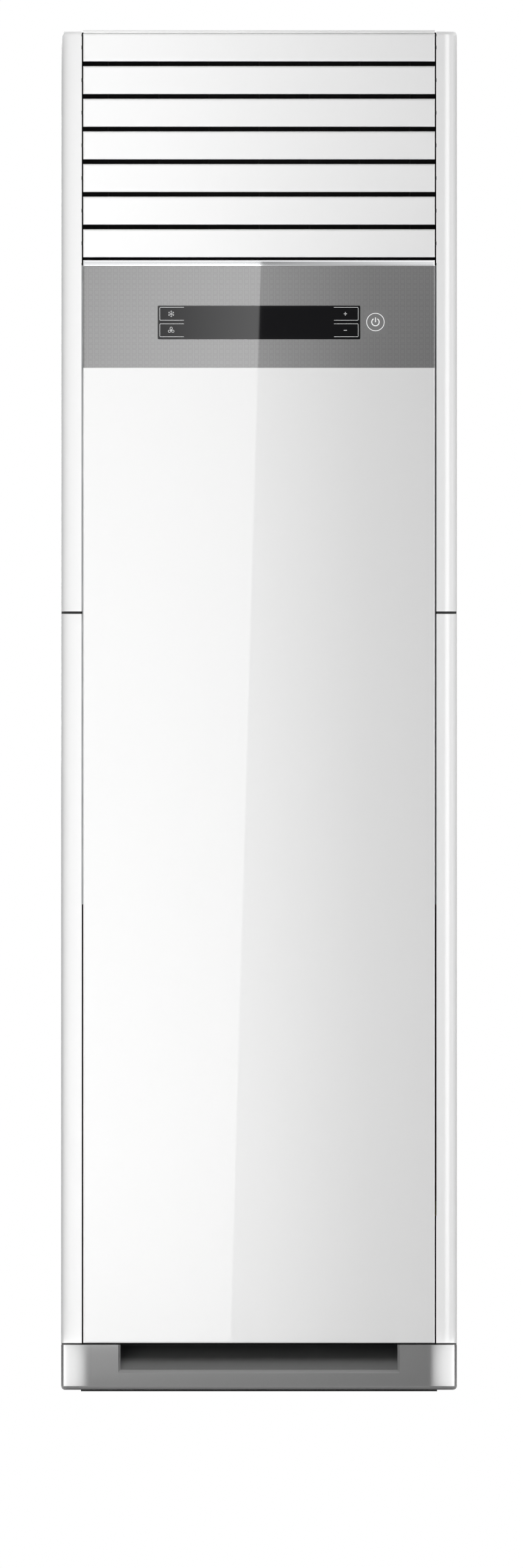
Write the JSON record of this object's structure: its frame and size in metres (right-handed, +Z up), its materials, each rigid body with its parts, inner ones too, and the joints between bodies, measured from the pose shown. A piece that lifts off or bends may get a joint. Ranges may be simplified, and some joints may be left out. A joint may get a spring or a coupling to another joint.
{
  "type": "floor-standing air conditioner indoor unit",
  "caption": "Tall floor-standing air conditioner cabinet with tilting front panel, linked outlet louvres and vanes, touch display, blower, coil and silver plinth.",
  "frame": {"origin": "on the floor, under the middle of the cabinet's plan", "axes": "+X to the right seen from the front, +Y from the front to the back, +Z up"},
  "size_m": [0.52, 0.32, 1.7888],
  "materials": {
    "panel_white": "gloss",
    "louvre_white": "satin",
    "side_white": "satin",
    "base_silver": "metallic satin",
    "trim_silver": "bright",
    "band_grey": "gloss over embossed squares",
    "window_black": "gloss",
    "duct_black": "matt",
    "zinc_sheet": "galvanised",
    "steel": "bare",
    "copper": "bare copper tube",
    "brass": "machined",
    "fins": "fine fins",
    "board_green": "solder resist",
    "mesh_grey": "fine mesh",
    "foam_white": "moulded foam",
    "rubber": "matt",
    "fan_grey": "moulded"
  },
  "bodies": {
    "cabinet": {"base_plinth": "base_silver", "foot_pads": "rubber", "lower_side_panel_left": "side_white", "lower_side_panel_right": "side_white", "upper_side_panel_left": "side_white", "upper_side_panel_right": "side_white", "top_cover": "side_white", "rear_panel": "zinc_sheet", "pipe_grommet": "rubber", "wall_bracket": "steel", "cabinet_screws": "steel", "outlet_frame": "duct_black", "cross_rail": "zinc_sheet", "duct_front_plate": "zinc_sheet", "louvre_motor": "steel", "vane_motor": "steel", "filter_left": "mesh_grey", "filter_right": "mesh_grey", "shelf": "zinc_sheet", "fan_scroll": "fan_grey", "bell_mouth": "fan_grey", "fan_motor": "steel", "motor_bracket": "zinc_sheet", "drain_pan": "foam_white", "evaporator_coil": "fins", "coil_end_plates": "zinc_sheet", "coil_bends": "copper", "gas_pipe": "copper", "liquid_pipe": "copper", "flare_nuts": "brass", "control_box": "zinc_sheet", "control_box_cover": "zinc_sheet", "control_board": "board_green", "terminal_block": "duct_black"},
    "fan": {"fan_wheel": "fan_grey", "motor_shaft": "steel"},
    "front_panel": {"front_panel": "panel_white", "trim_strip": "trim_silver", "control_band": "band_grey", "display_window": "window_black", "display_board": "board_green"},
    "louvre_1": {"louvre_1": "louvre_white"},
    "louvre_2": {"louvre_2": "louvre_white"},
    "louvre_3": {"louvre_3": "louvre_white"},
    "louvre_4": {"louvre_4": "louvre_white"},
    "louvre_5": {"louvre_5": "louvre_white"},
    "louvre_6": {"louvre_6": "louvre_white"},
    "louvre_7": {"louvre_7": "louvre_white"},
    "drive_crank": {"drive_crank": "louvre_white"},
    "louvre_link": {"louvre_link": "louvre_white"},
    "vane_1": {"vane_1": "duct_black"},
    "vane_2": {"vane_2": "duct_black"},
    "vane_3": {"vane_3": "duct_black"},
    "vane_4": {"vane_4": "duct_black"},
    "vane_5": {"vane_5": "duct_black"},
    "vane_6": {"vane_6": "duct_black"},
    "vane_7": {"vane_7": "duct_black"},
    "vane_link": {"vane_link": "duct_black"}
  },
  "joints": [
    {"name": "fan_spin", "type": "hinge", "parent": "cabinet", "child": "fan", "pos_m": [-0.021, 0, 0.36], "axis": [0, 1, 0], "continuous": true},
    {"name": "front_panel_tilt", "type": "hinge", "parent": "cabinet", "child": "front_panel", "pos_m": [0, -0.152, 1.47], "axis": [-1, 0, 0], "range_deg": [0, 8]},
    {"name": "louvre_1_turn", "type": "hinge", "parent": "cabinet", "child": "louvre_1", "pos_m": [0, -0.142, 1.5088], "axis": [1, 0, 0], "range_deg": [0, 80]},
    {"name": "louvre_2_turn", "type": "hinge", "parent": "cabinet", "child": "louvre_2", "pos_m": [0, -0.142, 1.5517], "axis": [1, 0, 0], "range_deg": [0, 80]},
    {"name": "louvre_3_turn", "type": "hinge", "parent": "cabinet", "child": "louvre_3", "pos_m": [0, -0.142, 1.5946], "axis": [1, 0, 0], "range_deg": [0, 80]},
    {"name": "louvre_4_turn", "type": "hinge", "parent": "cabinet", "child": "louvre_4", "pos_m": [0, -0.142, 1.6375], "axis": [1, 0, 0], "range_deg": [0, 80]},
    {"name": "louvre_5_turn", "type": "hinge", "parent": "cabinet", "child": "louvre_5", "pos_m": [0, -0.142, 1.6804], "axis": [1, 0, 0], "range_deg": [0, 80]},
    {"name": "louvre_6_turn", "type": "hinge", "parent": "cabinet", "child": "louvre_6", "pos_m": [0, -0.142, 1.7233], "axis": [1, 0, 0], "range_deg": [0, 80]},
    {"name": "louvre_7_turn", "type": "hinge", "parent": "cabinet", "child": "louvre_7", "pos_m": [0, -0.142, 1.7662], "axis": [1, 0, 0], "range_deg": [0, 80]},
    {"name": "drive_crank_turn", "type": "hinge", "parent": "cabinet", "child": "drive_crank", "pos_m": [0, -0.098, 1.6375], "axis": [1, 0, 0], "range_deg": [0, 80]},
    {"name": "louvre_link_pivot", "type": "hinge", "parent": "louvre_1", "child": "louvre_link", "pos_m": [0, -0.13281, 1.50109], "axis": [1, 0, 0], "range_deg": [-80, 0]},
    {"name": "vane_1_turn", "type": "hinge", "parent": "cabinet", "child": "vane_1", "pos_m": [-0.198, -0.09, 0], "axis": [0, 0, 1], "range_deg": [-35, 35]},
    {"name": "vane_2_turn", "type": "hinge", "parent": "cabinet", "child": "vane_2", "pos_m": [-0.132, -0.09, 0], "axis": [0, 0, 1], "range_deg": [-35, 35]},
    {"name": "vane_3_turn", "type": "hinge", "parent": "cabinet", "child": "vane_3", "pos_m": [-0.066, -0.09, 0], "axis": [0, 0, 1], "range_deg": [-35, 35]},
    {"name": "vane_4_turn", "type": "hinge", "parent": "cabinet", "child": "vane_4", "pos_m": [0, -0.09, 0], "axis": [0, 0, 1], "range_deg": [-35, 35]},
    {"name": "vane_5_turn", "type": "hinge", "parent": "cabinet", "child": "vane_5", "pos_m": [0.066, -0.09, 0], "axis": [0, 0, 1], "range_deg": [-35, 35]},
    {"name": "vane_6_turn", "type": "hinge", "parent": "cabinet", "child": "vane_6", "pos_m": [0.132, -0.09, 0], "axis": [0, 0, 1], "range_deg": [-35, 35]},
    {"name": "vane_7_turn", "type": "hinge", "parent": "cabinet", "child": "vane_7", "pos_m": [0.198, -0.09, 0], "axis": [0, 0, 1], "range_deg": [-35, 35]},
    {"name": "vane_link_pivot", "type": "hinge", "parent": "vane_1", "child": "vane_link", "pos_m": [-0.198, -0.072, 0], "axis": [0, 0, 1], "range_deg": [-35, 35]}
  ],
  "couplings": [
    {"joint": "louvre_2_turn", "follows": "louvre_1_turn", "ratio": 1},
    {"joint": "louvre_3_turn", "follows": "louvre_1_turn", "ratio": 1},
    {"joint": "louvre_4_turn", "follows": "louvre_1_turn", "ratio": 1},
    {"joint": "louvre_5_turn", "follows": "louvre_1_turn", "ratio": 1},
    {"joint": "louvre_6_turn", "follows": "louvre_1_turn", "ratio": 1},
    {"joint": "louvre_7_turn", "follows": "louvre_1_turn", "ratio": 1},
    {"joint": "drive_crank_turn", "follows": "louvre_1_turn", "ratio": 1},
    {"joint": "louvre_link_pivot", "follows": "louvre_1_turn", "ratio": -1},
    {"joint": "vane_2_turn", "follows": "vane_1_turn", "ratio": 1},
    {"joint": "vane_3_turn", "follows": "vane_1_turn", "ratio": 1},
    {"joint": "vane_4_turn", "follows": "vane_1_turn", "ratio": 1},
    {"joint": "vane_5_turn", "follows": "vane_1_turn", "ratio": 1},
    {"joint": "vane_6_turn", "follows": "vane_1_turn", "ratio": 1},
    {"joint": "vane_7_turn", "follows": "vane_1_turn", "ratio": 1},
    {"joint": "vane_link_pivot", "follows": "vane_1_turn", "ratio": -1}
  ]
}
